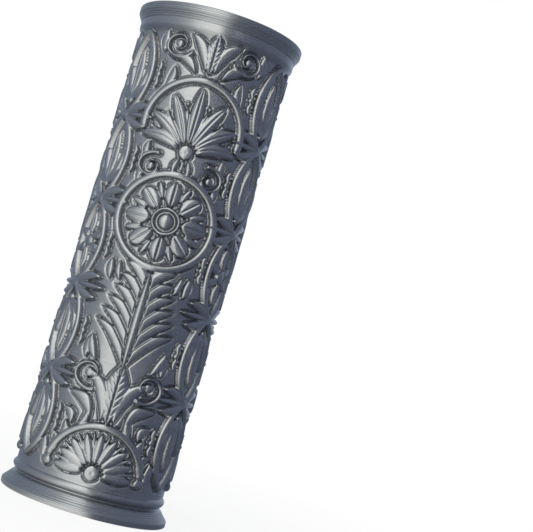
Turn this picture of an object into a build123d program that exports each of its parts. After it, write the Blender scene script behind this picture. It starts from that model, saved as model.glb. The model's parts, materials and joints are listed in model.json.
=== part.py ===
from build123d import *
from math import asin, cos, degrees, radians, sin
import os

# A hollow clay texture roller, standing on one end, its axis on Z and z = 0 at its foot.
# The barrel carries the raised ornament, and a flared guide rim is seated on each of its
# two turned-down ends, butting against a shoulder.

# Overall sizes, in millimetres
roller_length = 130.0
ground_radius = 19.8
bore_radius = 16.8
rim_radius = 22.3
relief_height = 1.1

# Seats of the guide rims
seat_radius = 18.4
rim_fit_clearance = 0.05
bore_lead_in = 0.6

# Guide rims: the lower one from its foot upwards, the upper one from its top downwards.
# Each cone ends a lip's width outside the barrel, which leaves a fine line between them.
lower_land_height = 1.4
lower_cone_height = 2.2
lower_edge_round = 0.45
upper_land_height = 1.6
upper_cone_height = 2.0
upper_edge_round = 0.5
rim_lip = 0.1

# Foot of the barrel, upwards: a neck that narrows to a waist, a bead, and its groove.
# Each depth or swell is measured from the ground radius.
neck_swell = 0.45
neck_height = 0.85
waist_depth = 0.35
waist_height = 0.15
bead_swell = 0.55
bead_height = 2.5
bead_groove_depth = 0.15
shoulder_height = 0.4

# Head of the barrel, downwards: a collar, and the flare that leads up to it
collar_swell = 1.3
collar_height = 1.7
flare_height = 2.4

# Field of the ornament
lower_plain_band = 0.5
upper_plain_band = 2.0
relief_root = 0.5
palm_root_overlap = 0.35
overrun = 3.0
repeats = 3

# Radii worked out from the sizes above
neck_foot_radius = ground_radius + neck_swell
waist_radius = ground_radius - waist_depth
bead_radius = ground_radius + bead_swell
bead_groove_radius = ground_radius - bead_groove_depth
collar_radius = ground_radius + collar_swell

# Heights worked out from the sizes above
lower_rim_height = lower_land_height + lower_cone_height
upper_rim_height = upper_land_height + upper_cone_height
neck_top = lower_rim_height + neck_height
bead_foot = neck_top + waist_height
bead_top = bead_foot + bead_height
ground_foot = bead_top + shoulder_height
collar_top = roller_length - upper_rim_height
flare_top = collar_top - collar_height
field_bottom = ground_foot + lower_plain_band
field_height = collar_top - upper_plain_band - field_bottom

# Shares of the ornament: a length or a place across is a share of the ground radius, and
# a place up the barrel is a share of the field's height. Headings are degrees, 90 is up.

# Fan shell under its arch, at the foot of the main column
shell_up_share = 0.021
shell_lobes = 9
shell_root_share = 0.11
shell_lobe_share = 0.40
shell_lobe_width_share = 0.146
shell_knob_share = 0.106
shell_arch_share = 0.59
shell_arch_width_share = 0.100
shell_arch_start = 10
shell_bead_share = 0.068

# Leaves of the main column: across, up, heading, length, width and bend of each. First the
# sprays in the corners beside the shell, then the husk above it.
corner_leaf_shares = (
    (0.625, 0.020, 84, 0.300, 0.115, -0.040),
    (0.600, 0.030, 96, 0.330, 0.115, 0.030),
    (0.515, 0.072, 96, 0.260, 0.110, 0.030),
    (0.330, 0.110, 108, 0.240, 0.110, 0.030),
)
husk_leaf_shares = (
    (0.000, 0.126, 90, 0.800, 0.360, 0.000),
    (0.080, 0.130, 62, 0.700, 0.200, 0.110),
    (0.210, 0.130, 38, 0.460, 0.170, 0.090),
    (0.420, 0.108, 58, 0.250, 0.130, 0.035),
)

# Palm sheaf: a stem, its paired leaflets and the reeds beside it
palm_foot_share = 0.243
palm_top_share = 0.408
palm_pairs = 6
palm_lean = 42
palm_long_share = 0.80
palm_short_share = 0.54
palm_width_share = 0.165
palm_bend_share = 0.110
palm_stem_foot_share = 0.229
palm_stem_top_share = 0.480
palm_stem_width_share = 0.125
reed_shares = (
    (0.330, 0.252, 68, 0.360, 0.120, -0.045),
    (0.470, 0.252, 88, 0.290, 0.110, -0.020),
    (0.455, 0.428, 84, 0.280, 0.110, -0.030),
    (0.330, 0.430, 78, 0.260, 0.100, -0.035),
)

# Rosette in its ring
rosette_up_share = 0.578
rosette_ring_share = 0.606
rosette_ring_width_share = 0.105
rosette_petals = 8
rosette_petal_root_share = 0.187
rosette_petal_share = 0.333
rosette_petal_width_share = 0.232
rosette_eye_ring_share = 0.162
rosette_eye_ring_width_share = 0.056
rosette_eye_share = 0.101

# Leaves in the corners outside the rosette's ring
spandrel_leaf_shares = (
    (0.490, 0.648, 82, 0.220, 0.100, 0.020),
    (0.470, 0.700, 92, 0.240, 0.100, -0.020),
    (0.090, 0.680, 100, 0.220, 0.095, -0.020),
)

# Anthemion under the upper arch
anthemion_foot_share = 0.7325
anthemion_lobes = 7
anthemion_spread = 156
anthemion_root_share = 0.10
anthemion_long_share = 0.755
anthemion_short_share = 0.535
anthemion_width_share = 0.182
anthemion_bend_share = 0.061
anthemion_knob_share = 0.101
anthemion_arch_up_share = 0.788
anthemion_arch_share = 0.616
anthemion_arch_width_share = 0.100
anthemion_arch_start = -8

# Crest at the top of the main column
crest_leaf_shares = (
    (0.000, 0.906, 90, 0.540, 0.260, 0.000),
    (0.060, 0.912, 58, 0.540, 0.170, 0.080),
    (0.160, 0.902, 32, 0.380, 0.140, 0.060),
    (0.480, 0.862, 100, 0.300, 0.110, 0.035),
    (0.600, 0.936, 88, 0.330, 0.110, -0.035),
)

# Scrolls of the main column: across, up, radius, first heading and sense of the turn.
# A scroll is half turns that tighten towards an eye.
scroll_shares = (
    (0.345, 0.223, 0.190, 250, 1),
    (0.348, 0.689, 0.167, 100, -1),
    (0.420, 0.962, 0.180, 215, 1),
)
scroll_half_turns = 3
scroll_tightening_share = 0.66
scroll_width_share = 0.38
scroll_eye_share = 0.34

# Side column: two straps that cross, and what fills the cells between the crossings
strap_cells = 5
strap_margin_share = 0.0173
strap_swing_share = 0.273
strap_width_share = 0.090
cell_foot_share = 0.323
sprig_leaf_shares = (
    (0, 0.732, 0.182, 0.000),
    (24, 0.556, 0.116, 0.045),
    (46, 0.364, 0.101, 0.040),
)
sprig_knob_share = 0.058
flower_petals = 6
flower_petal_root_share = 0.071
flower_tall_petal_share = 0.323
flower_petal_share = 0.217
flower_petal_width_share = 0.131
flower_knob_share = 0.086
knot_knob_share = 0.088
knot_leaf_shares = (
    (0.035, 19, 0.420, 0.135, 0.050),
    (0.035, -19, 0.420, 0.135, -0.050),
    (0.020, 0, 0.490, 0.090, 0.000),
)
cell_bead_place_share = 0.389
cell_bead_share = 0.045
bud_root_share = 0.020
bud_leaf_share = 0.170
bud_leaf_width_share = 0.080


def across(share):
    """A length from its share of the ground radius."""
    return share * ground_radius


def up(share):
    """A place in the field from its share of the field's height."""
    return share * field_height


def point_at(centre, heading, reach):
    """The point at this reach from a centre, along a heading in degrees."""
    return (centre[0] + reach * cos(radians(heading)), centre[1] + reach * sin(radians(heading)))


def carve_leaf(base, heading, length, width, bend):
    """A pointed leaf of two arcs, drawn on the open sketch and bent to its left."""
    tip = point_at(base, heading, length)
    middle = point_at(base, heading, length / 2)
    left = point_at(middle, heading + 90, bend + width / 2)
    right = point_at(middle, heading + 90, bend - width / 2)
    with BuildLine() as outline:
        ThreePointArc(base, left, tip)
        ThreePointArc(tip, right, base)
    make_face(outline.line)


def carve_band(centre, radius, start, sweep, width):
    """A stretch of a ring with round ends, drawn on the open sketch."""
    outer = radius + width / 2
    inner = radius - width / 2
    middle = start + sweep / 2
    end = start + sweep
    onward = 90 if sweep > 0 else -90
    start_cap = point_at(point_at(centre, start, radius), start - onward, width / 2)
    end_cap = point_at(point_at(centre, end, radius), end + onward, width / 2)
    with BuildLine() as outline:
        ThreePointArc(*(point_at(centre, heading, outer) for heading in (start, middle, end)))
        ThreePointArc(point_at(centre, end, outer), end_cap, point_at(centre, end, inner))
        ThreePointArc(*(point_at(centre, heading, inner) for heading in (end, middle, start)))
        ThreePointArc(point_at(centre, start, inner), start_cap, point_at(centre, start, outer))
    make_face(outline.line)


def carve_ring(centre, radius, width):
    """A whole ring, drawn on the open sketch."""
    outer = Circle(radius + width / 2, mode=Mode.PRIVATE)
    inner = Circle(radius - width / 2, mode=Mode.PRIVATE)
    with Locations(centre):
        add(outer - inner)


def carve_disc(centre, radius):
    """A bead or a knob, drawn on the open sketch."""
    with Locations(centre):
        Circle(radius)


def carve_scroll(centre, radius, heading, sense):
    """A volute drawn on the open sketch: half turns that tighten towards an eye."""
    reach = radius
    for half_turn in range(scroll_half_turns):
        carve_band(centre, reach, heading, sense * 180, reach * scroll_width_share)
        heading = heading + sense * 180
        tighter = reach * scroll_tightening_share
        centre = point_at(centre, heading, reach - tighter)
        reach = tighter
    carve_disc(centre, radius * scroll_eye_share)


def carve_leaf_pairs(leaf_shares):
    """The leaves of a table, each with its mirror image unless it stands on the middle."""
    for place, height, heading, length, width, bend in leaf_shares:
        sizes = (across(length), across(width))
        carve_leaf((across(place), up(height)), heading, *sizes, across(bend))
        if place > 0:
            carve_leaf((-across(place), up(height)), 180 - heading, *sizes, -across(bend))


def carve_spread(centre, count, start, sweep, root, length, width):
    """Straight leaves spread evenly round a centre, first and last on the sweep's ends."""
    for leaf in range(count):
        heading = start + sweep * leaf / (count - 1)
        carve_leaf(point_at(centre, heading, root), heading, length, width, 0)


def cell_middle(cell):
    """The height of the middle of a cell of the side column."""
    return up(strap_margin_share) + cell_pitch * (cell + 0.5)


# The ornament is drawn straight on, on a plane through the axis that faces the front, and
# pushed out to the barrel, where a ring as thick as the relief trims it
front = Plane(origin=(0, 0, field_bottom), x_dir=(1, 0, 0), z_dir=(0, -1, 0))
carving_reach = ground_radius + relief_height + overrun
shell_centre = (0, up(shell_up_share))
rosette_centre = (0, up(rosette_up_share))
anthemion_foot = (0, up(anthemion_foot_share))
cell_pitch = up(1 - 2 * strap_margin_share) / strap_cells
middle_cell = strap_cells // 2

# Main column: shell, husk, palm, rosette, anthemion and crest, with their arches and scrolls
with BuildPart() as main_column:
    with BuildSketch(front):
        carve_spread(shell_centre, shell_lobes, 0, 180, across(shell_root_share),
                     across(shell_lobe_share), across(shell_lobe_width_share))
        carve_disc(shell_centre, across(shell_knob_share))
        carve_band(shell_centre, across(shell_arch_share), shell_arch_start,
                   180 - 2 * shell_arch_start, across(shell_arch_width_share))
        for heading in (0, 180):
            carve_disc(point_at(shell_centre, heading, across(shell_arch_share)),
                       across(shell_bead_share))
        for leaf_shares in (corner_leaf_shares, husk_leaf_shares, reed_shares,
                            spandrel_leaf_shares, crest_leaf_shares):
            carve_leaf_pairs(leaf_shares)
        for pair in range(palm_pairs):
            climb = pair / (palm_pairs - 1)
            height = up(palm_foot_share + (palm_top_share - palm_foot_share) * climb)
            length = across(palm_long_share + (palm_short_share - palm_long_share) * climb)
            for side in (1, -1):
                carve_leaf((-side * palm_root_overlap, height), 90 - side * palm_lean, length,
                           across(palm_width_share), side * across(palm_bend_share))
        carve_leaf((0, up(palm_stem_foot_share)), 90,
                   up(palm_stem_top_share - palm_stem_foot_share),
                   across(palm_stem_width_share), 0)
        petal_turn = 360 / rosette_petals
        carve_spread(rosette_centre, rosette_petals, 90, 360 - petal_turn,
                     across(rosette_petal_root_share), across(rosette_petal_share),
                     across(rosette_petal_width_share))
        carve_disc(rosette_centre, across(rosette_eye_share))
        carve_ring(rosette_centre, across(rosette_eye_ring_share),
                   across(rosette_eye_ring_width_share))
        carve_ring(rosette_centre, across(rosette_ring_share), across(rosette_ring_width_share))
        for lobe in range(anthemion_lobes):
            turn = 2 * lobe / (anthemion_lobes - 1) - 1
            heading = 90 + turn * anthemion_spread / 2
            length = anthemion_long_share
            length += (anthemion_short_share - anthemion_long_share) * abs(turn)
            root = point_at(anthemion_foot, heading, across(anthemion_root_share))
            carve_leaf(root, heading, across(length), across(anthemion_width_share),
                       -across(anthemion_bend_share) * turn)
        carve_disc(anthemion_foot, across(anthemion_knob_share))
        carve_band((0, up(anthemion_arch_up_share)), across(anthemion_arch_share),
                   anthemion_arch_start, 180 - 2 * anthemion_arch_start,
                   across(anthemion_arch_width_share))
        for place, height, radius, heading, sense in scroll_shares:
            carve_scroll((across(place), up(height)), across(radius), heading, sense)
            carve_scroll((-across(place), up(height)), across(radius), 180 - heading, -sense)
    extrude(amount=carving_reach)
    with BuildSketch(Plane.XY):
        Circle(ground_radius + relief_height)
        Circle(ground_radius - relief_root, mode=Mode.SUBTRACT)
    extrude(amount=roller_length, mode=Mode.INTERSECT)

# Side column: straps that cross, knots between them, and a flower or a sprig in each cell
with BuildPart() as side_column:
    with BuildSketch(front):
        swing = across(strap_swing_share)
        strap_radius = ((cell_pitch / 2) ** 2 + swing ** 2) / (2 * swing)
        strap_half_sweep = degrees(asin(cell_pitch / 2 / strap_radius))
        for cell in range(strap_cells):
            height = cell_middle(cell)
            for side, heading in ((1, 0), (-1, 180)):
                carve_band((side * (swing - strap_radius), height), strap_radius,
                           heading - strap_half_sweep, 2 * strap_half_sweep,
                           across(strap_width_share))
                bead = (side * across(cell_bead_place_share), height)
                carve_disc(bead, across(cell_bead_share))
                for bud in (90, -90):
                    carve_leaf(point_at(bead, bud, across(bud_root_share)), bud,
                               across(bud_leaf_share), across(bud_leaf_width_share), 0)
            if cell == middle_cell:
                for petal in range(flower_petals):
                    heading = 90 + petal * 360 / flower_petals
                    upright = petal % (flower_petals // 2) == 0
                    length = flower_tall_petal_share if upright else flower_petal_share
                    root = point_at((0, height), heading, across(flower_petal_root_share))
                    carve_leaf(root, heading, across(length),
                               across(flower_petal_width_share), 0)
                carve_disc((0, height), across(flower_knob_share))
            else:
                upward = 1 if cell > middle_cell else -1
                foot = (0, height - upward * cell_pitch * cell_foot_share)
                for turn, length, width, bend in sprig_leaf_shares:
                    for side in (1, -1) if turn else (1,):
                        carve_leaf(foot, 90 * upward + side * turn, across(length),
                                   across(width), side * across(bend))
                carve_disc(foot, across(sprig_knob_share))
        for knot in range(1, strap_cells):
            height = up(strap_margin_share) + cell_pitch * knot
            carve_disc((0, height), across(knot_knob_share))
            for place, turn, length, width, bend in knot_leaf_shares:
                sizes = (across(length), across(width))
                carve_leaf((across(place), height), turn, *sizes, across(bend))
                carve_leaf((-across(place), height), 180 - turn, *sizes, -across(bend))
    extrude(amount=carving_reach)
    with BuildSketch(Plane.XY):
        Circle(ground_radius + relief_height)
        Circle(ground_radius - relief_root, mode=Mode.SUBTRACT)
    extrude(amount=roller_length, mode=Mode.INTERSECT)

# Barrel: one turned tube with a seat at each end, a neck and bead at its foot, a flare and
# collar at its head, and the ornament between them
with BuildPart() as texture_barrel:
    with BuildSketch(Plane.XZ):
        with BuildLine():
            Polyline(
                (bore_radius, bore_lead_in),
                (bore_radius + bore_lead_in, 0),
                (seat_radius, 0),
                (seat_radius, lower_rim_height),
                (neck_foot_radius, lower_rim_height),
                (waist_radius, neck_top),
                (waist_radius, bead_foot),
            )
            ThreePointArc(
                (waist_radius, bead_foot),
                (bead_radius, (bead_foot + bead_top) / 2),
                (bead_groove_radius, bead_top),
            )
            Polyline(
                (bead_groove_radius, bead_top),
                (ground_radius, ground_foot),
                (ground_radius, flare_top - flare_height),
                (collar_radius, flare_top),
                (collar_radius, collar_top),
                (seat_radius, collar_top),
                (seat_radius, roller_length),
                (bore_radius + bore_lead_in, roller_length),
                (bore_radius, roller_length - bore_lead_in),
                (bore_radius, bore_lead_in),
            )
        make_face()
    revolve(axis=Axis.Z)
    with PolarLocations(0, repeats):
        add(main_column.part)
    with PolarLocations(0, repeats, start_angle=180 / repeats):
        add(side_column.part)

# Lower guide rim: a ring with an upright land and a cone that rises to the neck
with BuildPart() as lower_guide_rim:
    with BuildSketch(Plane.XZ):
        with BuildLine():
            Polyline(
                (seat_radius + rim_fit_clearance, 0),
                (rim_radius - lower_edge_round, 0),
                (rim_radius, lower_edge_round),
                (rim_radius, lower_land_height),
                (neck_foot_radius + rim_lip, lower_rim_height),
                (seat_radius + rim_fit_clearance, lower_rim_height),
                close=True,
            )
        make_face()
    revolve(axis=Axis.Z)

# Upper guide rim: such a ring turned over, whose cone narrows down to the collar
with BuildPart() as upper_guide_rim:
    with BuildSketch(Plane.XZ):
        with BuildLine():
            Polyline(
                (seat_radius + rim_fit_clearance, roller_length),
                (rim_radius - upper_edge_round, roller_length),
                (rim_radius, roller_length - upper_edge_round),
                (rim_radius, roller_length - upper_land_height),
                (collar_radius + rim_lip, collar_top),
                (seat_radius + rim_fit_clearance, collar_top),
                close=True,
            )
        make_face()
    revolve(axis=Axis.Z)

texture_barrel.part.label = "texture_barrel"
lower_guide_rim.part.label = "lower_guide_rim"
upper_guide_rim.part.label = "upper_guide_rim"

os.makedirs("parts", exist_ok=True)
export_step(texture_barrel.part, "parts/texture_barrel.step")
export_step(lower_guide_rim.part, "parts/lower_guide_rim.step")
export_step(upper_guide_rim.part, "parts/upper_guide_rim.step")
for piece in (texture_barrel, lower_guide_rim, upper_guide_rim):
    print(piece.part.label, len(piece.part.solids()), "solids,", round(piece.part.volume, 1),
          "cubic mm")
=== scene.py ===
# %% [markdown]
# A clay texture roller: a hollow printed tube whose raised ornament presses into a slab
# of clay, with a flared guide rim at each end that keeps the pattern to one depth.
# The solids of the frame give every size and place. This script makes the same pieces
# again with rounded carving, printed layers and a silk finish, and shows them on a
# white table.

# %% The frame
import json
import math
import bpy
import numpy as np
from mathutils import Matrix, Vector


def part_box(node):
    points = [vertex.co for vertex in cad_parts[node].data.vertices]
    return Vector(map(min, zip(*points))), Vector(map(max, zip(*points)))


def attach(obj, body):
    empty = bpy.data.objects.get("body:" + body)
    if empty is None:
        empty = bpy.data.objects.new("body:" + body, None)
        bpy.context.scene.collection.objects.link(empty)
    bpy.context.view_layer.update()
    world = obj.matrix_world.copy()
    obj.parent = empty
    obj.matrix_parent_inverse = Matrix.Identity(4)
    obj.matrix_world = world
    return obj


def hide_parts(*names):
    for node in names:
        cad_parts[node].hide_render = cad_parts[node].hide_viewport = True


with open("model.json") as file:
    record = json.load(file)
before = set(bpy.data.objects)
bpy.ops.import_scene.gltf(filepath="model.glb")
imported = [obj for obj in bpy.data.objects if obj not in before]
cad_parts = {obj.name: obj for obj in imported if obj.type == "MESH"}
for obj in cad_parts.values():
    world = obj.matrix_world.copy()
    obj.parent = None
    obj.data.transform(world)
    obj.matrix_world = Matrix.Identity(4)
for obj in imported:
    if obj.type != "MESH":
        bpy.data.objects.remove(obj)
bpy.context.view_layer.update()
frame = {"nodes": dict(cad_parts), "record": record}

bpy.ops.object.select_all(action="DESELECT")
print("nodes", sorted(frame["nodes"]))

# %% [markdown]
# The frame says how long the roller is, how tall and wide its rims are and how wide
# the bore is. The other sizes are named here, in metres, from the foot upwards: the
# seat that hides under the rim, a neck, a waist, a bead and its groove, the carved
# field, and the flare and collar at the head.

# %% Sizes
MM = 0.001
barrel_low, barrel_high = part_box("texture_barrel")
lower_rim_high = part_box("lower_guide_rim")[1]
upper_rim_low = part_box("upper_guide_rim")[0]
bore_mount = next(m for m in frame["record"]["mounts"] if m["name"] == "through_bore")

roller_length = barrel_high.z - barrel_low.z
bore_radius = bore_mount["dims"]["r_mm"] * MM
bore_lead_in = (roller_length - bore_mount["dims"]["length_mm"] * MM) / 2
rim_radius = lower_rim_high.x
lower_rim_height = lower_rim_high.z
upper_rim_height = roller_length - upper_rim_low.z

ground_radius = 19.8 * MM
relief_height = 1.1 * MM
seat_radius = 18.4 * MM
rim_fit_clearance = 0.05 * MM
neck_foot_radius = 20.25 * MM
neck_height = 0.85 * MM
waist_radius = 19.45 * MM
waist_height = 0.15 * MM
bead_radius = 20.35 * MM
bead_height = 2.5 * MM
bead_groove_radius = 19.65 * MM
shoulder_height = 0.4 * MM
collar_radius = 21.1 * MM
collar_height = 1.7 * MM
flare_height = 2.4 * MM
lower_plain_band = 0.5 * MM
upper_plain_band = 2.0 * MM

neck_top = lower_rim_height + neck_height
bead_foot = neck_top + waist_height
bead_top = bead_foot + bead_height
ground_foot = bead_top + shoulder_height
collar_top = roller_length - upper_rim_height
flare_top = collar_top - collar_height
flare_foot = flare_top - flare_height
field_bottom = ground_foot + lower_plain_band
field_height = collar_top - upper_plain_band - field_bottom
print("length", roller_length, "bore", bore_radius, "rims", rim_radius,
      "field", round(field_height, 5))

# %% [markdown]
# The camera stands where the photographer stood: a third of a metre in front, near the
# height of the lower third, and rolled, so that the upright roller leans across the
# picture. Turning the roller instead would take it out of the frame of the solids. A
# long lens keeps the sides of the tube nearly parallel, and a sideways shift leaves the
# right half of the picture empty, as it is framed there.

# %% The camera
camera_distance = 333.8 * MM
camera_height = 48.2 * MM
camera_lens = 85.39
camera_yaw = math.radians(0.62)
camera_pitch = math.radians(3.02)
camera_roll = math.radians(16.36)
camera_shift = 0.1874

camera_data = bpy.data.cameras.new("photo_camera")
camera_data.lens = camera_lens
camera_data.shift_x = camera_shift
camera = bpy.data.objects.new("photo_camera", camera_data)
bpy.context.scene.collection.objects.link(camera)
aim = Matrix.Rotation(-camera_yaw, 4, "Z")
aim @= Matrix.Rotation(math.pi / 2 + camera_pitch, 4, "X")
aim @= Matrix.Rotation(camera_roll, 4, "Z")
camera.matrix_world = Matrix.Translation((0, -camera_distance, camera_height)) @ aim
bpy.context.scene.camera = camera
bpy.context.scene.view_settings.view_transform = "Standard"
print("camera at", tuple(round(c, 4) for c in camera.location))

# %% [markdown]
# A material is a sum of patterns, and sums read best as sums. This small class holds
# one output of a node, and + - * / on it add Math nodes. Every other node comes from
# one call, which takes the node's kind, its settings and what goes into its sockets,
# values or wires.

# %% Any node


def add_node(tree, kind, settings=None, inputs=None, output=0):
    """Adds a shader node, makes its settings, and fills its sockets."""
    node = tree.nodes.new("ShaderNode" + kind)
    for name, value in (settings or {}).items():
        if name == "stops":
            while len(node.color_ramp.elements) < len(value):
                node.color_ramp.elements.new(0.5)
            for stop, (place, color) in zip(node.color_ramp.elements, value):
                stop.position = place
            for stop, (place, color) in zip(node.color_ramp.elements, value):
                stop.color = color
        else:
            setattr(node, name, value)
    for name, value in (inputs or {}).items():
        if isinstance(value, Wire):
            tree.links.new(value.socket, node.inputs[name])
        else:
            node.inputs[name].default_value = value
    return Wire(tree, node.outputs[output]) if node.outputs else node


def new_material(name):
    """An empty material and its node tree."""
    material = bpy.data.materials.new(name)
    material.use_nodes = True
    material.node_tree.nodes.clear()
    return material, material.node_tree


print("nodes come from", add_node.__name__)

# %% Sums of nodes


class Wire:
    """One output of a node, on which sums are written as on a number."""

    def __init__(self, tree, socket):
        self.tree = tree
        self.socket = socket

    def math(self, operation, *values):
        """A Math node on this wire and on what else the operation takes."""
        inputs = dict(enumerate((self, *values)))
        return add_node(self.tree, "Math", {"operation": operation}, inputs)

    def __add__(self, other):
        return self.math("ADD", other)

    def __sub__(self, other):
        return self.math("SUBTRACT", other)

    def __mul__(self, other):
        return self.math("MULTIPLY", other)

    def __truediv__(self, other):
        return self.math("DIVIDE", other)

    def __rsub__(self, other):
        return add_node(self.tree, "Math", {"operation": "SUBTRACT"},
                        {0: other, 1: self})

    __radd__ = __add__
    __rmul__ = __mul__

    def part(self, axis):
        """One coordinate of this vector."""
        return add_node(self.tree, "SeparateXYZ", None, {0: self}, output=axis)

    def clamped(self):
        """This wire, kept between 0 and 1."""
        return add_node(self.tree, "Clamp", None, {"Value": self})


print("sums of", Wire.__name__)

# %% [markdown]
# The background is plain white. To the eye, to gloss and through glass the world and
# the floor are white of strength 1, and to everything else they are only a soft cool
# sky and a white table, since a brighter world would wash the roller out.

# %% The world
sky_color = (0.86, 0.93, 1.0, 1.0)
sky_strength = 0.45
white = (1.0, 1.0, 1.0, 1.0)


def seen_directly(tree):
    """1 for the rays of the camera, of gloss and of glass, and 0 for all others."""
    kinds = ("Is Camera Ray", "Is Glossy Ray", "Is Transmission Ray")
    rays = [add_node(tree, "LightPath", output=kind) for kind in kinds]
    return (rays[0] + rays[1] + rays[2]).clamped()


world = bpy.data.worlds.new("white_room")
bpy.context.scene.world = world
world.use_nodes = True
room = world.node_tree
room.nodes.clear()
sky = add_node(room, "Background", None, {"Color": sky_color, "Strength": sky_strength})
backdrop = add_node(room, "Background", None, {"Color": white, "Strength": 1.0})
both = add_node(room, "MixShader", None, {0: seen_directly(room), 1: sky, 2: backdrop})
add_node(room, "OutputWorld", None, {"Surface": both})
print("sky", sky_strength)

# %% [markdown]
# The floor is a white table. Near the roller it is a lit surface as well as a glowing
# one, and there it keeps the roller's soft shadow.

# %% The floor
floor_size = 6.0
floor_drop = 0.05 * MM
shadow_reach = 0.22
shadow_share = 0.15


def white_table():
    """White that glows for the eye, but less so near the roller, where it is lit."""
    material, tree = new_material("white_table")
    place = add_node(tree, "TexCoord", output="Object")
    reach = add_node(tree, "VectorMath", {"operation": "LENGTH"}, {0: place},
                     output="Value")
    lit_share = shadow_share * (1 - reach / shadow_reach).clamped()
    glow_share = seen_directly(tree) * (1 - lit_share)
    lit = add_node(tree, "BsdfDiffuse", None, {"Color": white})
    glow = add_node(tree, "Emission", None, {"Color": white, "Strength": 1.0})
    mixed = add_node(tree, "MixShader", None, {0: glow_share, 1: lit, 2: glow})
    add_node(tree, "OutputMaterial", None, {"Surface": mixed})
    return material


bpy.ops.mesh.primitive_plane_add(size=floor_size, location=(0, 0, -floor_drop))
floor = bpy.context.object
floor.name = "white_floor"
floor.data.materials.append(white_table())
print("floor", floor_size, "m across")

# %% [markdown]
# Two softboxes light the roller: the key beside the camera and a wider, dimmer one on
# its left. Point lamps would be simpler, but their shadows are hard. Each is placed by
# the direction from which it shines.

# %% The lamps
lamp_distance = 0.70
lamp_elevation = 12
lamp_height = 0.60
watts_per_radiance = 4
key_color = (1.0, 0.97, 0.90)
fill_color = (1.0, 0.98, 0.95)


def softbox(name, azimuth, wide, radiance, color):
    """An upright area lamp that faces the roller. Azimuth 0 is the camera's side."""
    data = bpy.data.lights.new(name, "AREA")
    data.shape = "RECTANGLE"
    data.size = wide
    data.size_y = lamp_height
    data.color = color
    data.energy = radiance * watts_per_radiance * wide * lamp_height
    lamp = bpy.data.objects.new(name, data)
    bpy.context.scene.collection.objects.link(lamp)
    turn, tilt = math.radians(azimuth), math.radians(lamp_elevation)
    level = math.cos(tilt)
    away = Vector((math.sin(turn) * level, -math.cos(turn) * level, math.sin(tilt)))
    lamp.location = Vector((0, 0, roller_length / 2)) + away * lamp_distance
    lamp.rotation_euler = away.to_track_quat("Z", "Y").to_euler()
    lamp.visible_camera = False
    lamp.visible_glossy = False


softbox("key_softbox", -12, 0.32, 4.0, key_color)
softbox("fill_softbox", -51, 0.50, 2.0, fill_color)

# %% [markdown]
# What silk plastic shows is mostly its surroundings. The long bright band down the
# roller, with its sharp right edge and dimmer left half, is the reflection of white
# cloth at the front left, between darker cloth. So the set stands in a light tent: an
# upright tube of cloth with a roof, and a round mat of the same cloth under the roller.
# Only gloss sees them, and the shade of the cloth follows the compass.

# %% The cloth of the tent
tent_radius = 1.1
tent_height = 2.4
tent_sides = 90
tent_strength = 5.2
mat_shade = 0.65
# azimuth in degrees, 0 at the camera and minus to its left, and the cloth's colour
tent_cloth = (
    (-180, (0.080, 0.094, 0.118)), (-150, (0.076, 0.090, 0.112)),
    (-120, (0.088, 0.105, 0.133)), (-84, (0.145, 0.161, 0.183)),
    (-60, (0.228, 0.237, 0.237)), (-46, (0.350, 0.354, 0.338)),
    (-34, (0.610, 0.602, 0.552)), (-24, (0.730, 0.712, 0.643)),
    (0, (0.780, 0.758, 0.684)), (6, (0.400, 0.390, 0.360)),
    (9, (0.056, 0.065, 0.087)), (60, (0.058, 0.068, 0.097)),
    (125, (0.070, 0.082, 0.109)), (150, (0.112, 0.128, 0.158)),
    (180, (0.080, 0.094, 0.118)),
)


def tent_fabric(name, shade):
    """Cloth that glows in the shade of its side of the tent."""
    material, tree = new_material(name)
    place = add_node(tree, "TexCoord", output="Object")
    azimuth = place.part("X").math("ARCTAN2", 0 - place.part("Y")) / (2 * math.pi) + 0.5
    stops = [(degrees / 360 + 0.5, (*color, 1.0)) for degrees, color in tent_cloth]
    cloth = add_node(tree, "ValToRGB", {"stops": stops}, {0: azimuth})
    glow = add_node(tree, "Emission", None,
                    {"Color": cloth, "Strength": tent_strength * shade})
    add_node(tree, "OutputMaterial", None, {"Surface": glow})
    return material


print("shades of cloth", len(tent_cloth))

# %% The light tent


def hang(cloth, name, fabric):
    """Names a cloth of the tent, covers it, and hides it from all but gloss."""
    cloth.name = name
    cloth.data.materials.append(fabric)
    cloth.visible_camera = False
    cloth.visible_diffuse = False
    cloth.visible_shadow = False


def lay_circle(height):
    """A flat round cloth as wide as the tent."""
    bpy.ops.mesh.primitive_circle_add(vertices=tent_sides, radius=tent_radius,
                                      fill_type="NGON", location=(0, 0, height))
    return bpy.context.object


bpy.ops.mesh.primitive_cylinder_add(vertices=tent_sides, radius=tent_radius,
                                    depth=tent_height, end_fill_type="NOTHING")
hang(bpy.context.object, "light_tent", tent_fabric("tent_fabric", 1.0))
hang(lay_circle(-floor_drop / 2), "tent_mat", tent_fabric("mat_fabric", mat_shade))
hang(lay_circle(tent_height / 2), "tent_roof", tent_fabric("roof_fabric", 1.0))
print("tent", tent_radius, "m in radius,", tent_height, "m tall")

# %% [markdown]
# The ornament is hundreds of leaves, bands and beads that stand about a millimetre proud.
# Sculpting can't repeat them exactly, and booleans give sharp flat forms, so the
# ornament is a height over the barrel's ground, worked out point by point from a few
# carved forms. Where two forms meet, the higher one wins, as in carving. Places and
# sizes are shares of the ground radius, as in the solids, and heights are in metres.

# %% A patch to carve


def up(share):
    """A height up the field, from its share of the field to shares of the radius."""
    return share * field_height / ground_radius


def point_at(centre, heading, reach):
    """The point at this reach from a centre, along a heading in degrees."""
    turn = math.radians(heading)
    return (centre[0] + reach * math.cos(turn), centre[1] + reach * math.sin(turn))


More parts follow.
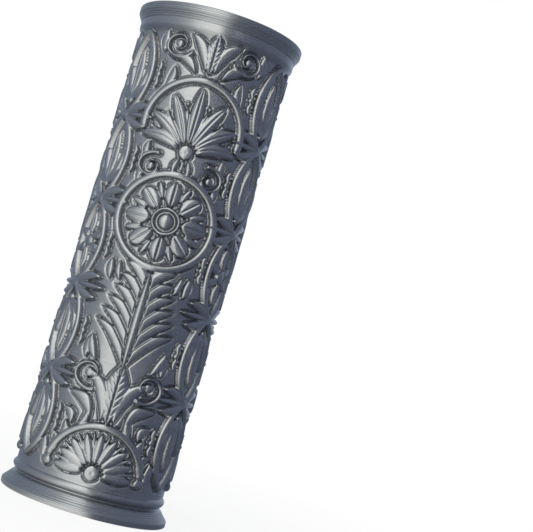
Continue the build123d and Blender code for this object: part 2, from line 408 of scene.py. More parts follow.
class Patch:
    """A patch of the barrel, with the height of its relief at every point."""

    def __init__(self, across, upward):
        self.across = across
        self.upward = upward
        self.height = np.zeros_like(across)

    def window(self, low, high):
        """The points inside a box, as indices."""
        inside = (self.across > low[0]) & (self.across < high[0])
        inside &= (self.upward > low[1]) & (self.upward < high[1])
        return np.nonzero(inside)

    def window_round(self, centre, reach):
        """The points near a centre, as indices, and how far they are from it."""
        spots = self.window((centre[0] - reach, centre[1] - reach),
                            (centre[0] + reach, centre[1] + reach))
        return spots, self.across[spots] - centre[0], self.upward[spots] - centre[1]

    def lift(self, spots, inside, height):
        """Raises the points inside a form to its height, where they are lower."""
        chosen = (spots[0][inside], spots[1][inside])
        self.height[chosen] = np.maximum(self.height[chosen], height[inside])


print("the field is", round(up(1), 2), "ground radii tall")

# %% [markdown]
# A carved leaf is a pointed oval with a full, rounded back. It may bend, and it may have
# a groove down its middle and slanting veins. Its fullness says how blunt its ends are.

# %% A leaf
leaf_squareness = 2.4
roundness = 0.7
tip_share = 0.001
end_steepness = 2.2
groove_width_share = 0.010
vein_slant = 1.3
vein_depth = 0.22 * MM
vein_sharpness = 4
midrib_share = 0.12


def carve_leaf(patch, base, heading, length, width, bend, height, groove=0.0, veins=0,
               fullness=1.0):
    """A pointed leaf with a rounded back, bent to its left."""
    tip = point_at(base, heading, length)
    margin = abs(bend) + width
    spots = patch.window((min(base[0], tip[0]) - margin, min(base[1], tip[1]) - margin),
                           (max(base[0], tip[0]) + margin, max(base[1], tip[1]) + margin))
    turn = math.radians(heading)
    x = patch.across[spots] - base[0]
    y = patch.upward[spots] - base[1]
    along = (x * math.cos(turn) + y * math.sin(turn)) / length
    beside = y * math.cos(turn) - x * math.sin(turn)
    inside = (along > tip_share) & (along < 1 - tip_share)
    along_leaf = np.clip(along, tip_share, 1 - tip_share)
    swell = 4 * along_leaf * (1 - along_leaf)
    half_width = width / 2 * swell ** fullness
    side = (beside - bend * swell) / half_width
    inside &= np.abs(side) < 1
    side = np.clip(side, -1, 1)
    ends = np.minimum(1, swell * end_steepness) ** 0.5
    back = height * (1 - np.abs(side) ** leaf_squareness) ** roundness * ends
    back -= groove * np.exp(-(side * half_width / groove_width_share) ** 2) * ends
    if veins:
        slant = along * veins - np.abs(side) * half_width * vein_slant * veins / length
        cut = np.clip(np.cos(2 * np.pi * slant), 0, 1) ** vein_sharpness
        cut *= np.abs(side) > midrib_share
        back -= vein_depth * cut * (1 - side ** 2) ** 0.5
    patch.lift(spots, inside, back)


print("back", leaf_squareness, roundness)

# %% [markdown]
# Leaves that overlap run together, so a carver cuts round the front one. Here a slightly
# wider leaf is carved first, and what was there is cut down to a floor under it.

# %% A leaf in front
cut_width_share = 0.012
cut_floor = 0.35 * MM


def carve_front_leaf(patch, base, heading, length, width, bend, height):
    """A leaf in front of what is already there, with a cut round it."""
    before = patch.height.copy()
    patch.height[:] = 0
    carve_leaf(patch, base, heading, length, width + 2 * cut_width_share, bend, 1.0)
    around = patch.height > 0
    patch.height[:] = 0
    carve_leaf(patch, base, heading, length, width, bend, height)
    before[around] = np.minimum(before[around], cut_floor)
    patch.height = np.where(patch.height > 0, patch.height, before)


print("cut", cut_floor)

# %% [markdown]
# Arches, rings and straps are bands, which are as high as the relief goes: a stretch of
# a ring with a rounded back and round ends. Knobs and beads are discs, some with a
# dished middle. A volute is a row of ever tighter quarter rings that ends in a disc.

# %% Bands, discs and volutes
dish_share = 0.75
dish_roundness = 0.7
scroll_quarters = 6
scroll_tightening_share = 0.80
scroll_width_share = 0.40
scroll_eye_share = 0.34


def carve_band(patch, centre, radius, start, sweep, width, taper=1.0):
    """A round-backed stretch of a ring, with round ends."""
    spots, x, y = patch.window_round(centre, radius + width)
    low = min(start, start + sweep)
    span = abs(sweep)
    past = (np.degrees(np.arctan2(y, x)) - low) % 360
    past = np.where(past > (span + 360) / 2, past - 360, past)
    nearest = np.clip(past, 0, span)
    turn = np.radians(low + nearest)
    gap = np.hypot(x - radius * np.cos(turn), y - radius * np.sin(turn))
    share = nearest / span if sweep > 0 else 1 - nearest / span
    half_width = width / 2 * (1 + (taper - 1) * share)
    side = np.clip(gap / half_width, 0, 1)
    back = relief_height * (1 - side ** 2) ** roundness
    patch.lift(spots, gap < half_width, back)


def carve_disc(patch, centre, radius, height=relief_height, dish=0.0):
    """A bead or a knob, with a dished middle if asked."""
    spots, x, y = patch.window_round(centre, radius)
    gap = np.hypot(x, y)
    side = np.clip(gap / radius, 0, 1)
    back = height * (1 - side ** 2) ** 0.5
    back -= dish * np.clip(1 - side / dish_share, 0, 1) ** dish_roundness
    patch.lift(spots, gap < radius, back)


def carve_scroll(patch, centre, radius, heading, sense):
    """A volute: quarter turns that tighten towards an eye."""
    reach = radius
    for _ in range(scroll_quarters):
        carve_band(patch, centre, reach, heading, sense * 90,
                   reach * scroll_width_share, taper=scroll_tightening_share)
        heading += sense * 90
        tighter = reach * scroll_tightening_share
        centre = point_at(centre, heading, reach - tighter)
        reach = tighter
    carve_disc(patch, centre, radius * scroll_eye_share)


print("quarter turns of a volute", scroll_quarters)

# %% [markdown]
# Leaves stand at several heights, as on the real roller: bold ones highest, then plain
# ones, sepals and thin ones. Three arrangements come back in every ornament: a
# leaf that points away from a centre, an arch over one, and leaves in mirrored pairs.

# %% Heights and arrangements
bold_leaf_height = 1.0 * MM
leaf_height = 0.90 * MM
pearl_height = 0.80 * MM
sepal_height = 0.75 * MM
thin_height = 0.70 * MM
bold_leaf_groove = 0.35 * MM
lobe_groove = 0.30 * MM
leaf_groove = 0.25 * MM
petal_fullness = 0.7
lobe_fullness = 0.75
sprig_fullness = 0.8
leaf_veins = 8


def carve_ray(patch, centre, heading, shares, height, **back):
    """A leaf that points away from a centre: its root's place, length and width."""
    root, length, width = shares
    base = point_at(centre, heading, root)
    carve_leaf(patch, base, heading, length, width, 0, height, **back)


def carve_arch(patch, centre, radius, width, start):
    """An arch over a centre, whose ends are at this heading and its mirror image."""
    carve_band(patch, centre, radius, start, 180 - 2 * start, width)


def carve_pair(patch, base, heading, length, width, bend):
    """A plain leaf and its mirror image."""
    for side, turned in ((1, heading), (-1, 180 - heading)):
        carve_leaf(patch, (side * base[0], base[1]), turned, length, width,
                   side * bend, leaf_height)


def carve_leaves(patch, leaf_shares):
    """A table of leaves, in pairs except for those on the middle line, with veins."""
    for place, height, *leaf in leaf_shares:
        if place:
            carve_pair(patch, (place, up(height)), *leaf)
        else:
            carve_leaf(patch, (0, up(height)), *leaf, bold_leaf_height,
                       groove=bold_leaf_groove, veins=leaf_veins)


print("heights", bold_leaf_height, leaf_height, sepal_height, thin_height)

# %% [markdown]
# The main column stacks six classical ornaments. At its foot a fan shell opens under a
# beaded arch, with thin inner lobes between the broad ones. The three shares of a leaf
# are its root's distance from the centre, its length and its width.

# %% The shell
shell_up_share = 0.021
shell_lobes = 9
shell_lobe_shares = (0.11, 0.40, 0.146)
shell_inner_shares = (0.30, 0.22, 0.05)
shell_knob_share = 0.106
shell_knob_dish = 0.4 * MM
shell_arch_share = 0.59
shell_arch_width_share = 0.100
shell_arch_start = 10
shell_bead_share = 0.068


def carve_shell(patch):
    """A fan of nine lobes and eight thin ones, a knob, and a beaded arch over it."""
    centre = (0, up(shell_up_share))
    turn = 180 / (shell_lobes - 1)
    for lobe in range(shell_lobes):
        carve_ray(patch, centre, turn * lobe, shell_lobe_shares, leaf_height,
                  fullness=lobe_fullness)
    for gap in range(shell_lobes - 1):
        carve_ray(patch, centre, turn * (gap + 0.5), shell_inner_shares, thin_height,
                  fullness=sprig_fullness)
    carve_disc(patch, centre, shell_knob_share, dish=shell_knob_dish)
    carve_arch(patch, centre, shell_arch_share, shell_arch_width_share, shell_arch_start)
    for heading in (0, 180):
        carve_disc(patch, point_at(centre, heading, shell_arch_share), shell_bead_share)


print("lobes of the shell", shell_lobes)

# %% [markdown]
# Above the shell a palm sheaf rises: a stem with six pairs of curved leaflets, each cut
# apart from the one below, so the upper ones lie in front.

# %% The palm
palm_pairs = 6
palm_foot_share = 0.243
palm_top_share = 0.408
palm_root_share = 0.0177
palm_lean = 42
palm_long_share = 0.80
palm_short_share = 0.54
palm_width_share = 0.165
palm_bend_share = 0.110
palm_stem_foot_share = 0.229
palm_stem_top_share = 0.480
palm_stem_width_share = 0.125


def carve_palm(patch):
    """The leaflets from the lowest pair upwards, then the stem."""
    for pair in range(palm_pairs):
        climb = pair / (palm_pairs - 1)
        height = up(palm_foot_share + (palm_top_share - palm_foot_share) * climb)
        length = palm_long_share + (palm_short_share - palm_long_share) * climb
        for side in (1, -1):
            carve_front_leaf(patch, (-side * palm_root_share, height),
                             90 - side * palm_lean, length, palm_width_share,
                             side * palm_bend_share, leaf_height)
    carve_front_leaf(patch, (0, up(palm_stem_foot_share)), 90,
                     up(palm_stem_top_share - palm_stem_foot_share),
                     palm_stem_width_share, 0, relief_height)


print("pairs of leaflets", palm_pairs)

# %% [markdown]
# In the middle of the column sits a rosette in a ring, with grooved petals and a small
# sepal between each two.

# %% The rosette
rosette_up_share = 0.578
rosette_petals = 8
rosette_petal_shares = (0.187, 0.333, 0.232)
rosette_sepal_shares = (0.283, 0.242, 0.091)
rosette_eye_share = 0.101
# radius and width of each ring
rosette_ring_shares = ((0.162, 0.056), (0.606, 0.105))


def carve_rosette(patch):
    """Eight petals with a sepal between each two, an eye, and two rings."""
    centre = (0, up(rosette_up_share))
    turn = 360 / rosette_petals
    for petal in range(rosette_petals):
        heading = 90 + turn * petal
        carve_ray(patch, centre, heading, rosette_petal_shares, bold_leaf_height,
                  groove=bold_leaf_groove, fullness=petal_fullness)
        carve_ray(patch, centre, heading + turn / 2, rosette_sepal_shares, sepal_height)
    carve_disc(patch, centre, rosette_eye_share)
    for radius, width in rosette_ring_shares:
        carve_band(patch, centre, radius, 0, 360, width)


print("petals of the rosette", rosette_petals)

# %% [markdown]
# Above it stands an anthemion, the honeysuckle of Greek friezes: lobes that spread from
# a knob, with stamens between them that end in small beads, under an arch.

# %% The anthemion
anthemion_foot_share = 0.7325
anthemion_lobes = 7
anthemion_spread = 156
anthemion_root_share = 0.10
anthemion_long_share = 0.755
anthemion_short_share = 0.535
anthemion_width_share = 0.182
anthemion_bend_share = 0.061
anthemion_knob_share = 0.101
anthemion_knob_dish = 0.3 * MM
anthemion_arch_up_share = 0.788
anthemion_arch_share = 0.616
anthemion_arch_width_share = 0.100
anthemion_arch_start = -8
stamen_shares = (0.24, 0.36, 0.055)
stamen_bead_share = 0.032
stamen_bead_reach_shares = (0.56, 0.56, 0.62, 0.62, 0.56, 0.56)


def carve_anthemion(patch):
    """Seven lobes, six beaded stamens between them, a knob and an arch."""
    foot = (0, up(anthemion_foot_share))
    half_steps = (anthemion_lobes - 1) / 2
    for lobe in range(anthemion_lobes):
        turn = lobe / half_steps - 1
        heading = 90 + turn * anthemion_spread / 2
        length = anthemion_long_share
        length += (anthemion_short_share - anthemion_long_share) * abs(turn)
        carve_leaf(patch, point_at(foot, heading, anthemion_root_share), heading,
                   length, anthemion_width_share, -anthemion_bend_share * turn,
                   bold_leaf_height, groove=lobe_groove, fullness=lobe_fullness)
    for stamen, bead_reach in enumerate(stamen_bead_reach_shares):
        turn = (stamen + 0.5) / half_steps - 1
        heading = 90 + turn * anthemion_spread / 2
        carve_ray(patch, foot, heading, stamen_shares, thin_height)
        carve_disc(patch, point_at(foot, heading, bead_reach), stamen_bead_share,
                   pearl_height)
    carve_disc(patch, foot, anthemion_knob_share, dish=anthemion_knob_dish)
    carve_arch(patch, (0, up(anthemion_arch_up_share)), anthemion_arch_share,
               anthemion_arch_width_share, anthemion_arch_start)


print("lobes of the anthemion", anthemion_lobes)

# %% [markdown]
# Leaves, reeds and volutes fill the room between the large ornaments: corner leaves
# beside the shell, a husk above it, reeds beside the palm, spandrel leaves round the
# rosette, and a crest at the top.

# %% The leaves between
# across, up, heading, length, width and bend of each leaf
corner_leaf_shares = (
    (0.625, 0.020, 84, 0.300, 0.115, -0.040),
    (0.600, 0.030, 96, 0.330, 0.115, 0.030),
    (0.515, 0.072, 96, 0.260, 0.110, 0.030),
    (0.330, 0.110, 108, 0.240, 0.110, 0.030),
)
husk_leaf_shares = (
    (0.000, 0.126, 90, 0.800, 0.360, 0.000),
    (0.080, 0.130, 62, 0.700, 0.200, 0.110),
    (0.210, 0.130, 38, 0.460, 0.170, 0.090),
    (0.420, 0.108, 58, 0.250, 0.130, 0.035),
)
reed_shares = (
    (0.330, 0.252, 68, 0.360, 0.120, -0.045),
    (0.470, 0.252, 88, 0.290, 0.110, -0.020),
    (0.455, 0.428, 84, 0.280, 0.110, -0.030),
    (0.330, 0.430, 78, 0.260, 0.100, -0.035),
)
spandrel_leaf_shares = (
    (0.490, 0.648, 82, 0.220, 0.100, 0.020),
    (0.470, 0.700, 92, 0.240, 0.100, -0.020),
    (0.090, 0.680, 100, 0.220, 0.095, -0.020),
)
crest_leaf_shares = (
    (0.000, 0.906, 90, 0.540, 0.260, 0.000),
    (0.060, 0.912, 58, 0.540, 0.170, 0.080),
    (0.160, 0.902, 32, 0.380, 0.140, 0.060),
    (0.480, 0.862, 100, 0.300, 0.110, 0.035),
    (0.600, 0.936, 88, 0.330, 0.110, -0.035),
)
# across, up, radius, first heading and sense of the turn of each volute
scroll_shares = (
    (0.345, 0.223, 0.190, 250, 1),
    (0.348, 0.689, 0.167, 100, -1),
    (0.420, 0.962, 0.180, 215, 1),
)
print("pairs of volutes", len(scroll_shares))

# %% The main column


def carve_main_column(patch):
    """The six ornaments of the main column, from the shell up to the crest."""
    carve_shell(patch)
    carve_leaves(patch, corner_leaf_shares + husk_leaf_shares)
    carve_palm(patch)
    carve_leaves(patch, reed_shares + spandrel_leaf_shares + crest_leaf_shares)
    carve_rosette(patch)
    carve_anthemion(patch)
    for place, height, radius, heading, sense in scroll_shares:
        carve_scroll(patch, (place, up(height)), radius, heading, sense)
        carve_scroll(patch, (-place, up(height)), radius, 180 - heading, -sense)


print("main column, from", field_bottom, "up")

# %% [markdown]
# Between two main columns runs a side column: two straps that cross five times, a knot
# with leaves at each crossing, a flower in the middle cell and a sprig in each other.

# %% Flowers, sprigs and knots
flower_petals = 6
flower_tall_petal_shares = (0.071, 0.323, 0.131)
flower_petal_shares = (0.071, 0.217, 0.131)
flower_knob_share = 0.086
sprig_knob_share = 0.058
knot_knob_share = 0.088
# turn, length, width and bend of each leaf of a sprig
sprig_leaf_shares = (
    (0, 0.732, 0.182, 0.000),
    (24, 0.556, 0.116, 0.045),
    (46, 0.364, 0.101, 0.040),
)
# place, heading, length, width and bend of each leaf of a knot
knot_leaf_shares = (
    (0.035, 19, 0.420, 0.135, 0.050),
    (0.035, -19, 0.420, 0.135, -0.050),
    (0.020, 0, 0.490, 0.090, 0.000),
)


def carve_flower(patch, centre):
    """Six petals round a knob, the upright pair longer than the rest."""
    for petal in range(flower_petals):
        upright = petal % (flower_petals // 2) == 0
        carve_ray(patch, centre, 90 + 360 / flower_petals * petal,
                  flower_tall_petal_shares if upright else flower_petal_shares,
                  leaf_height, groove=leaf_groove, fullness=lobe_fullness)
    carve_disc(patch, centre, flower_knob_share)


def carve_sprig(patch, foot, upward):
    """A sprig of five leaves that grows up or down from its foot."""
    for turn, length, width, bend in sprig_leaf_shares:
        for side in (1, -1):
            carve_leaf(patch, foot, 90 * upward + side * turn, length, width,
                       side * bend, leaf_height, groove=leaf_groove,
                       fullness=sprig_fullness)
    carve_disc(patch, foot, sprig_knob_share)


def carve_knot(patch, height):
    """A knob over a crossing of the straps, with three leaves on each side."""
    carve_disc(patch, (0, height), knot_knob_share)
    for place, *leaf in knot_leaf_shares:
        carve_pair(patch, (place, height), *leaf)


print("petals of a flower", flower_petals)

# %% The side column
strap_cells = 5
strap_margin_share = 0.0173
strap_swing_share = 0.273
strap_width_share = 0.090
cell_foot_share = 0.323
cell_bead_place_share = 0.389
cell_bead_share = 0.045
bud_leaf_shares = (0.020, 0.170, 0.080)


def carve_bud(patch, place):
    """A bead beside a strap, with a small leaf above and below it."""
    carve_disc(patch, place, cell_bead_share)
    for heading in (90, -90):
        carve_ray(patch, place, heading, bud_leaf_shares, leaf_height)


def carve_side_column(patch):
    """The crossing straps with their buds, knots, sprigs and flower."""
    pitch = up(1 - 2 * strap_margin_share) / strap_cells
    radius = ((pitch / 2) ** 2 + strap_swing_share ** 2) / (2 * strap_swing_share)
    half_sweep = math.degrees(math.asin(pitch / 2 / radius))
    for cell in range(strap_cells):
        height = up(strap_margin_share) + pitch * (cell + 0.5)
        for side, heading in ((1, 0), (-1, 180)):
            carve_band(patch, (side * (strap_swing_share - radius), height), radius,
                       heading - half_sweep, 2 * half_sweep, strap_width_share)
            carve_bud(patch, (side * cell_bead_place_share, height))
        if cell == strap_cells // 2:
            carve_flower(patch, (0, height))
        else:
            upward = 1 if cell > strap_cells // 2 else -1
            carve_sprig(patch, (0, height - upward * pitch * cell_foot_share), upward)
    for knot in range(1, strap_cells):
        carve_knot(patch, up(strap_margin_share) + pitch * knot)


print("cells", strap_cells)

# %% [markdown]
# The relief is softened a little, as a printer softens what it prints. The blur is
# counted in cells of the grid on which the heights are worked out.

# %% Softening
soft_cells = 1.0


def soften(heights, cells):
    """A Gaussian blur along both directions."""
    reach = int(3 * cells) + 1
    steps = np.arange(-reach, reach + 1)
    weights = np.exp(-steps ** 2 / (2 * cells ** 2))
    weights /= weights.sum()
    for axis in (0, 1):
        heights = np.apply_along_axis(np.convolve, axis, heights, weights, "same")
    return heights


print("blur", soft_cells)

# %% [markdown]
# Three equal thirds go round the barrel, each with one main column and half of each side
# column beside it. Heights are worked out on a grid twice as fine as the mesh, and a
# little wider than the third, so that its softened edges match the next third's. A
# narrow moat round each form makes its outline dark, as it is on the real relief.

# %% The relief of one third
thirds = 3
third_sweep = 2 * math.pi / thirds
columns = 252
row_pitch = third_sweep * ground_radius / columns
fine = 2
spare = 14
patch_reach = math.pi / 2.2
moat_cells = 4.2
moat_depth = 0.48 * MM
moat_steepness = 3


def relief_at(rows_up):
    """The relief on a grid of these heights above the field's foot by the columns."""
    step = third_sweep / columns / fine
    angles = (np.arange(-spare, columns * fine + spare + 1) * step) - third_sweep / 2
    total = np.zeros((len(rows_up), len(angles)))
    for middle, carve in ((0, carve_main_column), (-third_sweep / 2, carve_side_column),
                          (third_sweep / 2, carve_side_column)):
        across, upward = np.meshgrid(np.sin(angles - middle), rows_up / ground_radius)
        across[:, np.abs(angles - middle) > patch_reach] = np.inf
        patch = Patch(across, upward)
        carve(patch)
        total = np.maximum(total, patch.height)
    covered = (total > 0).astype(float)
    moat = soften(covered, moat_cells) * (1 - soften(covered, soft_cells))
    total = soften(total, soft_cells)
    total -= moat_depth * np.minimum(1, moat_steepness * moat)
    return total[:, spare:-spare]


rows = round((flare_top - ground_foot) / row_pitch)
fine_rows_z = np.linspace(ground_foot, flare_top, rows * fine + 1)
relief = relief_at(fine_rows_z - field_bottom)[::fine, ::fine]
rows_z = fine_rows_z[::fine]
print("relief grid", relief.shape, "highest", round(relief.max() / MM, 3), "mm")

# %% [markdown]
# The barrel is turned from one outline: the end face, the seat, the neck, the bead and
# its groove, the ground, the flare and the collar, the upper seat, and the bore. Each
# corner of it, and each row of the relief, is a station: a height, with a radius for
# every column round.

# %% The outline of the barrel
turn_steps = 12
bead_fullness = 0.7


def eased(start, end, share):
    """A step from start to end that leaves and arrives level."""
    return start + (end - start) * share * share * (3 - 2 * share)


def ground_at(height):
    """The radius of the barrel's ground, which flares out softly under the collar."""
    return eased(ground_radius, collar_radius,
                 np.clip((height - flare_foot) / flare_height, 0, 1))


steps = np.linspace(0, 1, turn_steps + 1)
neck = [(eased(neck_foot_radius, waist_radius, s), lower_rim_height + s * neck_height)
        for s in steps]
bead = [(waist_radius + (bead_groove_radius - waist_radius) * s
         + (bead_radius - waist_radius) * math.sin(math.pi * s) ** bead_fullness,
         bead_foot + s * bead_height) for s in steps]
mouth_radius = bore_radius + bore_lead_in
foot_stations = [(mouth_radius, 0), (seat_radius, 0),
                 (seat_radius, lower_rim_height), *neck, *bead]
head_stations = [(collar_radius, collar_top), (seat_radius, collar_top),
                 (seat_radius, roller_length), (mouth_radius, roller_length),
                 (bore_radius, roller_length - bore_lead_in),
                 (bore_radius, bore_lead_in), (mouth_radius, 0)]
stations = [*foot_stations, *zip(ground_at(rows_z), rows_z), *head_stations]
station_radius, station_z = np.array(stations).T
print("stations", len(station_z))

# %% The relief on its ground
station_radius = np.repeat(station_radius[:, None], columns + 1, 1)
carved_rows = slice(len(foot_stations), len(foot_stations) + len(rows_z))
fade = np.clip((ground_at(rows_z) - ground_radius) / relief_height, 0, 1)[:, None]
carved = np.maximum(station_radius[carved_rows], ground_radius + relief)
station_radius[carved_rows] = np.where(
    relief > 0, carved, station_radius[carved_rows] + relief * (1 - fade))
print("widest", round(station_radius.max() / MM, 2), "mm")

# %% [markdown]
# A sixth of the barrel is a flat grid with a row for each station and a column for each
# step round, rolled up by a formula, which a displace modifier without a texture can't
# do. Its last row meets its first, and its two open sides are filled, so that it is a
# closed solid.

# %% A sixth of the barrel
weld_distance = 0.001 * MM
barrel_crease = math.radians(80)


def roll_up(name, first_column, last_column):
    """A closed piece of the barrel between two columns of the relief."""
    wide = last_column - first_column
    bpy.ops.object.select_all(action="DESELECT")
    bpy.ops.mesh.primitive_grid_add(x_subdivisions=wide,
                                    y_subdivisions=len(station_z) - 1, size=1)
    piece = bpy.context.object
    piece.name = name
    flat = np.empty(len(piece.data.vertices) * 3)
    piece.data.vertices.foreach_get("co", flat)
    flat = flat.reshape(-1, 3)
    column = np.rint((flat[:, 0] + 0.5) * wide).astype(int) + first_column
    row = np.rint((flat[:, 1] + 0.5) * (len(station_z) - 1)).astype(int)
    angle = column / columns * third_sweep - third_sweep / 2
    radius = station_radius[row, column]
    rolled = (radius * np.sin(angle), -radius * np.cos(angle), station_z[row])
    piece.data.vertices.foreach_set("co", np.stack(rolled, 1).ravel())
    piece.data.update()
    bpy.ops.object.mode_set(mode="EDIT")
    bpy.ops.mesh.select_all(action="SELECT")
    bpy.ops.mesh.remove_doubles(threshold=weld_distance)
    bpy.ops.mesh.select_all(action="DESELECT")
    bpy.ops.mesh.select_mode(type="EDGE")
    bpy.ops.mesh.select_non_manifold()
    bpy.ops.mesh.fill_holes(sides=0)
    bpy.ops.mesh.select_all(action="SELECT")
    bpy.ops.mesh.normals_make_consistent(inside=False)
    bpy.ops.object.mode_set(mode="OBJECT")
    bpy.ops.object.shade_smooth_by_angle(angle=barrel_crease)
    piece.data.calc_loop_triangles()
    print(name, len(piece.data.loop_triangles), "triangles")
    return piece


left_sixth = roll_up("carved_barrel_1", 0, columns // 2)
right_sixth = roll_up("carved_barrel_2", columns // 2, columns)

# %% [markdown]
# The two sixths make one third, which is copied twice and turned about the axis.

# %% The whole barrel
barrel_pieces = [left_sixth, right_sixth]
for turn_number in range(1, thirds):
    for sixth in (left_sixth, right_sixth):
        bpy.ops.object.select_all(action="DESELECT")
        sixth.select_set(True)
        bpy.context.view_layer.objects.active = sixth
        bpy.ops.object.duplicate()
        copy = bpy.context.object
        copy.name = f"carved_barrel_{len(barrel_pieces) + 1}"
        bpy.ops.transform.rotate(value=turn_number * third_sweep, orient_axis="Z",
                                 center_override=(0, 0, 0))
        bpy.ops.object.transform_apply(location=True, rotation=True, scale=True)
        barrel_pieces.append(copy)
print("barrel pieces", [piece.name for piece in barrel_pieces])

# %% [markdown]
# A guide rim is a ring with an upright land and a cone, and its printed layers are
# clear enough to count. Each layer is a small rounded bead, so the outline of the rim
# has a shallow scallop for every layer, at the heights of the lines in its finish, and
# some layers are sunk a little, as in a real print.

# %% The outline of a rim
layer_pitch = 0.52 * MM
upper_layer_depth = 0.075 * MM
lower_layer_depth = 0.035 * MM
unevenness_share = 0.6
bead_points = 8
edge_points = 6
layer_sinks = np.random.default_rng(11).random(64)


def layered(start, end, layer_depth):
    """Points from start to end with a scallop for each layer, some deeper than others."""
    start, end = Vector(start), Vector(end)
    outward = Vector((end.y - start.y, start.x - end.x)).normalized()
    count = round((end.y - start.y) / layer_pitch * bead_points)
    points = []
    for point in range(count):
        place = start.lerp(end, point / count)
        layer = place.y / layer_pitch
        swell = math.sin(math.pi * (layer % 1)) ** 0.5
        depth = layer_depth * (1 - swell + unevenness_share * layer_sinks[int(layer)])
        points.append(place - outward * depth)
    return points


def rim_outline(rim_height, land_height, cone_radius, edge, layer_depth):
    """The outline of a rim that stands on its land, from its inner foot outwards."""
    inner = seat_radius + rim_fit_clearance
    corner = Vector((rim_radius - edge, edge))
    rounding = [corner + edge * Vector((math.sin(a), -math.cos(a)))
                for a in np.linspace(0, math.pi / 2, edge_points)[:-1]]
    land = layered((rim_radius, edge), (rim_radius, land_height), layer_depth)
    cone = layered((rim_radius, land_height), (cone_radius, rim_height), layer_depth)
    return [Vector((inner, 0)), *rounding, *land, *cone,
            Vector((cone_radius, rim_height)), Vector((inner, rim_height))]


print("layers of", layer_pitch, "m")

# %% [markdown]
# The outline starts as a circle of points, the points are moved to their places, and the
# spin tool turns them into the ring, as a lathe would. A screw modifier would do it too,
# but would have to be applied. The upper rim is an outline turned upside down.

# %% The guide rims
rim_steps = 288
rim_crease = math.radians(50)
rim_lip = 0.1 * MM
lower_land_height = 1.4 * MM
lower_edge_round = 0.45 * MM
upper_land_height = 1.6 * MM
upper_edge_round = 0.5 * MM


def spin_rim(name, outline):
    """Turns an outline of (radius, height) into a closed ring."""
    bpy.ops.object.select_all(action="DESELECT")
    bpy.ops.mesh.primitive_circle_add(vertices=len(outline), radius=rim_radius)
    rim = bpy.context.object
    rim.name = name
    for vertex, point in zip(rim.data.vertices, outline):
        vertex.co = (point.x, 0, point.y)
    bpy.ops.object.mode_set(mode="EDIT")
    bpy.ops.mesh.select_all(action="SELECT")
    bpy.ops.mesh.spin(steps=rim_steps, angle=2 * math.pi, center=(0, 0, 0),
                      axis=(0, 0, 1))
    bpy.ops.mesh.select_all(action="SELECT")
    bpy.ops.mesh.remove_doubles(threshold=weld_distance)
    bpy.ops.mesh.normals_make_consistent(inside=False)
    bpy.ops.object.mode_set(mode="OBJECT")
    bpy.ops.object.shade_smooth_by_angle(angle=rim_crease)
    print(name, len(rim.data.polygons), "faces")
    return rim


lower_outline = rim_outline(lower_rim_height, lower_land_height,
                            neck_foot_radius + rim_lip, lower_edge_round,
                            lower_layer_depth)
upper_outline = rim_outline(upper_rim_height, upper_land_height,
                            collar_radius + rim_lip, upper_edge_round,
                            upper_layer_depth)
lower_rim = spin_rim("layered_lower_rim", lower_outline)
upper_rim = spin_rim("layered_upper_rim", [Vector((point.x, roller_length - point.y))
                                           for point in upper_outline])

# %% [markdown]
# Every surface of a print is made of layers, each a small rounded bead. Their lines run
# round the roller, and on the flat ends they are rings instead. Modelled all over, they
# would take millions of faces, so they are a height for a Bump node, with long streaks
# round the roller and a fine grain.

# %% The layers of the print
ring_pitch = 0.45 * MM
end_depth = 0.03 * MM
streak_scale = (60, 60, 2600)
streak_detail = 3.0
streak_height = 0.020 * MM
grain_scale = 3000.0
grain_detail = 2.0
grain_height = 0.004 * MM
layer_wobble = 0.12


def layer_number(tree, place, pitch):
    """Which layer of the print a point is in, or which ring of an end face."""
    height = place.part("Z")
    flat = add_node(tree, "VectorMath", {"operation": "MULTIPLY"},
                    {0: place, 1: (1, 1, 0)})
    radius = add_node(tree, "VectorMath", {"operation": "LENGTH"}, {0: flat},
                      output="Value")
    off_centre = (height - roller_length / 2).math("ABSOLUTE")
    at_end = off_centre.math("GREATER_THAN", roller_length / 2 - end_depth)
    return (1 - at_end) * height / pitch + at_end * radius / ring_pitch


def printed_layers(tree, pitch, slope):
    """The height, the streaks, and a mask for painted shade in the lines between the
    layers.
    """
    place = add_node(tree, "TexCoord", output="Object")
    streaks = add_node(tree, "Mapping", None,
                       {"Vector": place, "Scale": streak_scale})
    streak = add_node(tree, "TexNoise", None,
                      {"Vector": streaks, "Scale": 1.0, "Detail": streak_detail})
    grain = add_node(tree, "TexNoise", None,
                     {"Vector": place, "Scale": grain_scale, "Detail": grain_detail})
    layer = layer_number(tree, place, pitch) + layer_wobble * streak
    across_bead = 2 * layer.math("FRACT") - 1
    off_middle = across_bead * across_bead
    beads = (1 - off_middle) * (pitch * slope / 4)
    heights = beads + streak * streak_height + grain * grain_height
    # The last value is the mask of the grooves between the layers, where shade is
    # painted.
    return heights, streak, off_middle * off_middle * off_middle


print("rings of the end faces", ring_pitch, "m apart")
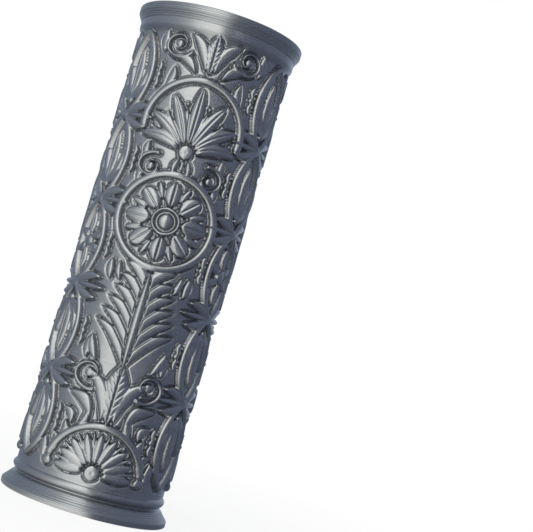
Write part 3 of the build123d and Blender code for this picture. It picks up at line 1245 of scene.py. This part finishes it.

# %% [markdown]
# Silk plastic is a dark slate with a pearly shine. Metal would be too hard and plain
# plastic too dull, so the shader is mostly metallic, in a slate that varies a little
# from layer to layer. Shade is painted into the lines between the layers: the colour
# darkens there, as if they were shaded. The beads of the layers spread the gloss up and
# down, while the bright band stays tight round the barrel.

# %% The silk plastic
slate = (0.168, 0.178, 0.196, 1.0)
pale_slate = (0.220, 0.231, 0.248, 1.0)
# Painted shade: the dark slate put into the grooves between the printed layers.
painted_groove_shade_slate = (0.050, 0.056, 0.072, 1.0)
silk_metallic = 0.85
silk_ior = 1.5
streak_roughness = 0.08
barrel_layer_pitch = 0.20 * MM


def silk_plastic(name, pitch, slope, roughness, groove_shade_share):
    """Silk printed plastic whose layer beads have this pitch and steepness."""
    material, tree = new_material(name)
    heights, streak, painted_groove_shade = printed_layers(tree, pitch, slope)
    normal = add_node(tree, "Bump", None,
                      {"Height": heights, "Distance": 1.0, "Strength": 1.0})
    body = add_node(tree, "Mix", {"data_type": "RGBA"},
                    {"Factor": streak, "A": slate, "B": pale_slate}, output="Result")
    # Painted shade: the colour darkens in the grooves between the layers.
    color = add_node(tree, "Mix", {"data_type": "RGBA"},
                     {"Factor": painted_groove_shade * groove_shade_share, "A": body, "B": painted_groove_shade_slate},
                     output="Result")
    shader = add_node(tree, "BsdfPrincipled", None, {
        "Base Color": color,
        "Metallic": silk_metallic,
        "Roughness": roughness + streak_roughness * streak,
        "IOR": silk_ior,
        "Normal": normal,
    })
    add_node(tree, "OutputMaterial", None, {"Surface": shader})
    return material


# The last number is how strongly painted shade darkens the grooves between the layers.
barrel_silk = silk_plastic("barrel_silk", barrel_layer_pitch, 0.40, 0.14, 0.15)
upper_rim_silk = silk_plastic("upper_rim_silk", layer_pitch, 0.25, 0.24, 0.80)
lower_rim_silk = silk_plastic("lower_rim_silk", layer_pitch, 0.15, 0.24, 0.35)
print("finishes", barrel_silk.name, upper_rim_silk.name, lower_rim_silk.name)

# %% [markdown]
# Each piece gets its finish and takes the place of the solid that it stands for. The
# roller is one body, so they all ride on its root.

# %% Finishing the pieces
for piece in barrel_pieces:
    piece.data.materials.append(barrel_silk)
    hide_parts("texture_barrel")
for rim, silk, node in ((lower_rim, lower_rim_silk, "lower_guide_rim"),
                        (upper_rim, upper_rim_silk, "upper_guide_rim")):
    rim.data.materials.append(silk)
    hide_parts(node)
for piece in barrel_pieces + [lower_rim, upper_rim]:
    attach(piece, "root")
